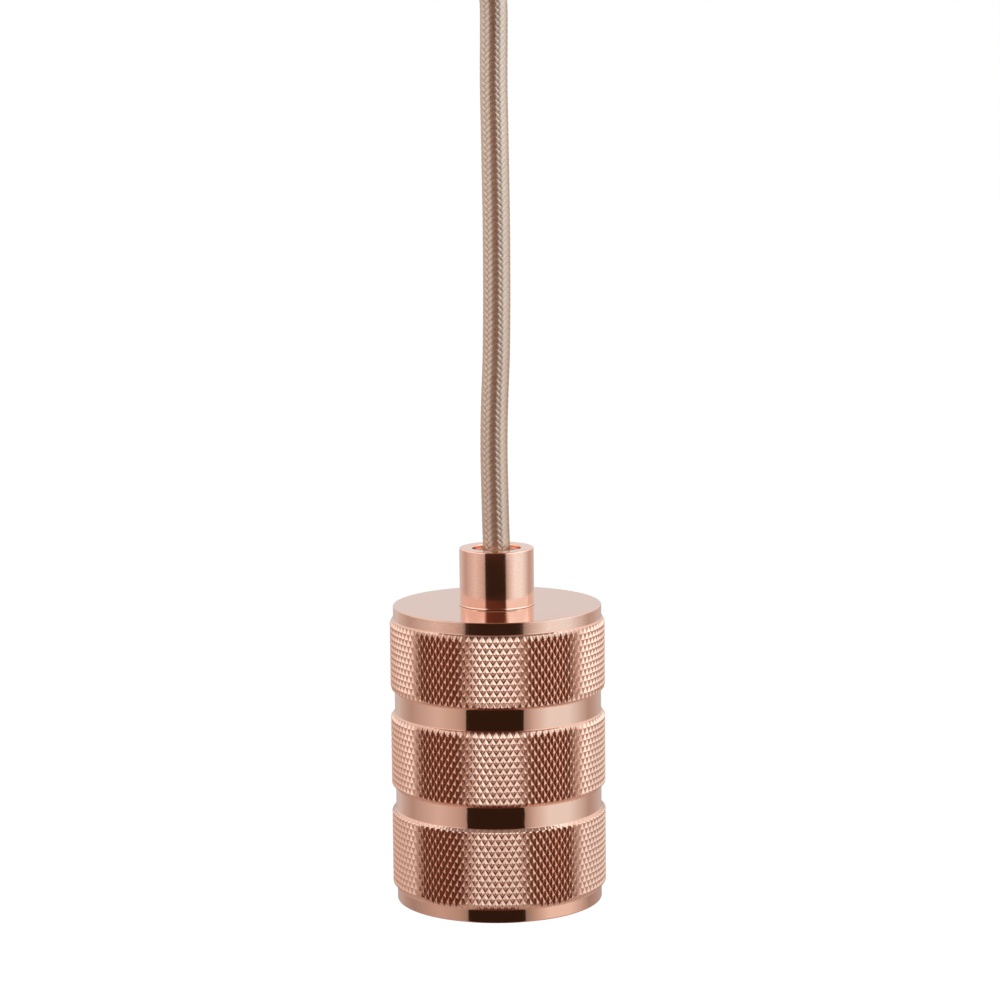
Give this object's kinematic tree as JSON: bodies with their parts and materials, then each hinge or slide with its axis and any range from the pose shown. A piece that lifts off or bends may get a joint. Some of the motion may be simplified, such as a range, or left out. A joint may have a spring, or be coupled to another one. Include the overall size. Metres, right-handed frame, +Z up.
{
  "type": "pendant light",
  "caption": "Copper pendant light: a knurled cylindrical screw lampholder with a porcelain insert, hung on a braided flex from a round ceiling rose.",
  "frame": {"origin": "on the ceiling plane, at the middle of the bracket's flat upper face, on the light's axis", "axes": "+Z up, out of the ceiling face; the light hangs down along -Z; +X towards the side screw and terminal strip in the rose; the picture looks along +Y"},
  "size_m": [0.1046, 0.1, 0.252],
  "materials": {
    "copper": "copper-finished turned brass, polished plate and grooves, satin rim and grip",
    "braid": "copper-coloured textile braid, satin",
    "porcelain": "white glazed porcelain",
    "brass": "plain brass",
    "bronze": "sprung phosphor bronze",
    "steel": "zinc-plated steel",
    "nylon": "natural nylon",
    "brown_pvc": "brown core insulation",
    "blue_pvc": "blue core insulation",
    "green_yellow_pvc": "green and yellow core insulation"
  },
  "bodies": {
    "root": {"knurled_body": "copper", "lamp_grip": "copper", "lamp_grip_bush": "nylon", "lamp_nipple": "steel", "lamp_lock_nut": "steel", "mounting_bridge": "steel", "bridge_screw_front": "steel", "bridge_screw_back": "steel", "earth_screw": "brass", "insulator": "porcelain", "screw_shell": "brass", "shell_screw": "brass", "centre_contact": "bronze", "contact_screw": "brass", "terminal_live": "brass", "terminal_neutral": "brass", "clamp_screw_live": "brass", "clamp_screw_neutral": "brass", "core_live": "brown_pvc", "core_neutral": "blue_pvc", "core_earth": "green_yellow_pvc", "flex_cord": "braid", "ceiling_rose": "copper", "rose_grip": "copper", "rose_grip_bush": "nylon", "rose_nipple": "steel", "rose_lock_nut": "steel", "ceiling_bracket": "steel", "rose_side_screw_1": "copper", "rose_side_screw_2": "copper", "terminal_strip": "nylon", "strip_fixing_screw": "steel", "strip_screw_1": "brass", "strip_screw_2": "brass", "strip_screw_3": "brass", "strip_screw_4": "brass", "strip_screw_5": "brass", "strip_screw_6": "brass", "rose_core_live": "brown_pvc", "rose_core_neutral": "blue_pvc", "rose_core_earth": "green_yellow_pvc"}
  },
  "joints": []
}
